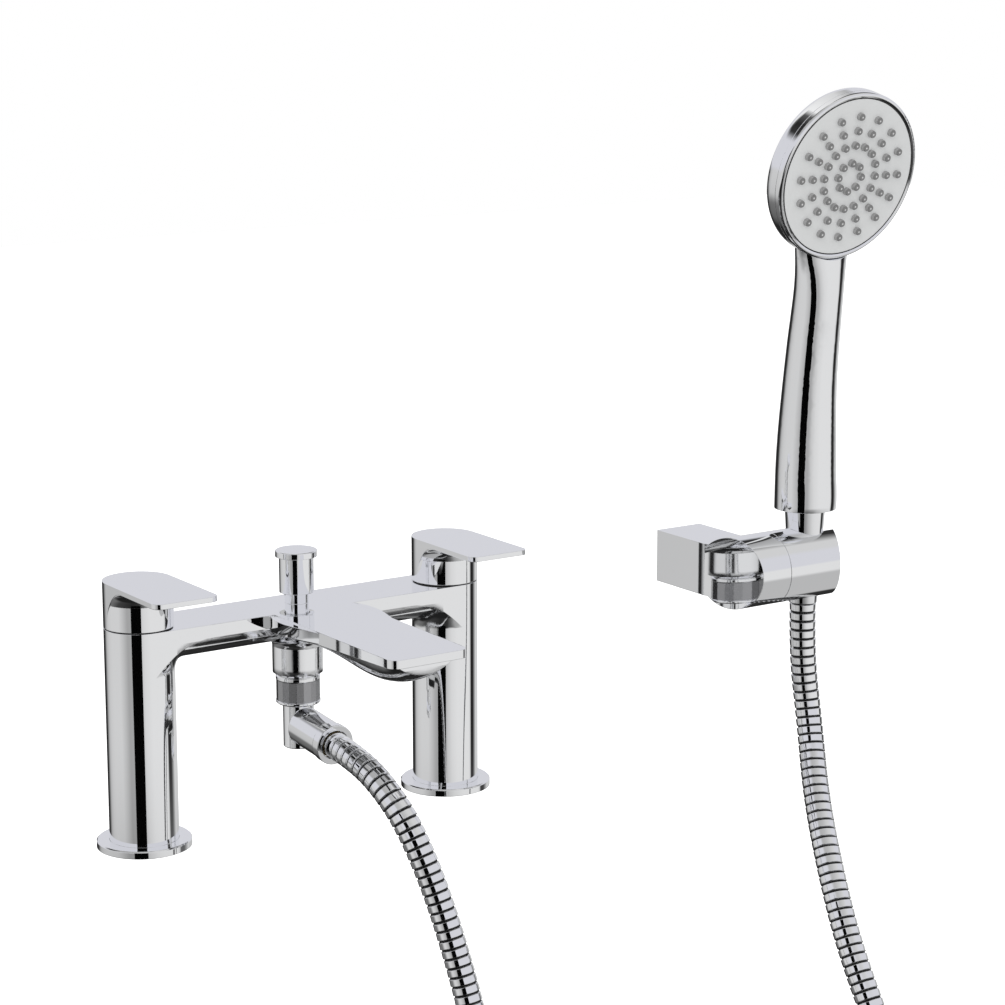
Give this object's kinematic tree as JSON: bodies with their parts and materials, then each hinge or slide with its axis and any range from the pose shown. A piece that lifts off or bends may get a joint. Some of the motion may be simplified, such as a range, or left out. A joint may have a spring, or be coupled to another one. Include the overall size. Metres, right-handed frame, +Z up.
{
  "type": "bath shower mixer",
  "caption": "Deck bath mixer with two flat lever handles, flat spout, pull-up diverter, metal hose and a round hand shower in a swivelling wall holder.",
  "frame": {"origin": "on the deck, midway between the two pillars' inlet axes, at the undersides of the flanges", "axes": "+Z up, +X from the hot pillar to the cold pillar, spout towards -Y"},
  "size_m": [0.3888, 0.3012, 0.8161],
  "materials": {
    "chrome": "polished chrome plate",
    "steel": "plain stainless steel",
    "brass": "machined brass",
    "ceramic": "ground ceramic",
    "plastic_white": "white acetal",
    "rubber_black": "black rubber",
    "rubber_grey": "grey silicone",
    "plate_grey": "light grey semi-gloss plastic"
  },
  "bodies": {
    "mixer": {"aerator_housing": "chrome", "aerator_insert": "plastic_white", "aerator_seal": "rubber_black", "bracket_body": "chrome", "bracket_lock_screw": "steel", "check_valve": "plastic_white", "cold_base_flange": "chrome", "cold_base_seal": "rubber_black", "cold_fixed_disc": "ceramic", "cold_glide_ring": "plastic_white", "cold_valve_body": "brass", "cold_valve_seal": "rubber_black", "diverter_bush": "chrome", "elbow": "chrome", "elbow_end_ring": "chrome", "elbow_ferrule": "brass", "hot_base_flange": "chrome", "hot_base_seal": "rubber_black", "hot_fixed_disc": "ceramic", "hot_glide_ring": "plastic_white", "hot_valve_body": "brass", "hot_valve_seal": "rubber_black", "mixer_body": "chrome", "outlet_adaptor": "chrome", "outlet_washer": "rubber_black", "shower_hose": "chrome", "swivel_pivot_screw": "steel", "union_nut": "chrome", "wall_plate": "plastic_white"},
    "hot_valve": {"hot_handle": "chrome", "hot_handle_screw": "steel", "hot_spindle": "brass", "hot_moving_disc": "ceramic"},
    "cold_valve": {"cold_handle": "chrome", "cold_handle_screw": "steel", "cold_spindle": "brass", "cold_moving_disc": "ceramic"},
    "diverter": {"diverter_knob": "chrome", "diverter_rod": "brass", "diverter_piston_seal": "rubber_black"},
    "holder": {"swivel_holder": "chrome", "swivel_friction_ring": "rubber_black"},
    "handset": {"handset_body": "chrome", "head_rim": "chrome", "spray_plate": "plate_grey", "nozzle_mat": "rubber_grey", "distributor_disc": "plastic_white", "head_seal": "rubber_black", "handset_inlet_insert": "brass", "flow_limiter": "plastic_white", "handset_washer": "rubber_black", "hose_cone_nut": "chrome", "handset_ferrule": "brass"}
  },
  "joints": [
    {"name": "hot_handle_turn", "type": "hinge", "parent": "mixer", "child": "hot_valve", "pos_m": [-0.09, 0, 0.1136], "axis": [0, 0, 1], "range_deg": [-90, 0]},
    {"name": "cold_handle_turn", "type": "hinge", "parent": "mixer", "child": "cold_valve", "pos_m": [0.09, 0, 0.1136], "axis": [0, 0, 1], "range_deg": [0, 90]},
    {"name": "diverter_pull", "type": "slide", "parent": "mixer", "child": "diverter", "axis": [0, 0, 1], "range_m": [0, 0.008]},
    {"name": "holder_tilt", "type": "hinge", "parent": "mixer", "child": "holder", "pos_m": [0.208, -0.12525, 0.12803], "axis": [1, 0, 0], "range_deg": [-20, 50], "deforming": ["shower_hose"]},
    {"name": "handset_lift", "type": "slide", "parent": "holder", "child": "handset", "axis": [0, 0, 1], "range_m": [0, 0.045], "deforming": ["shower_hose"]}
  ]
}
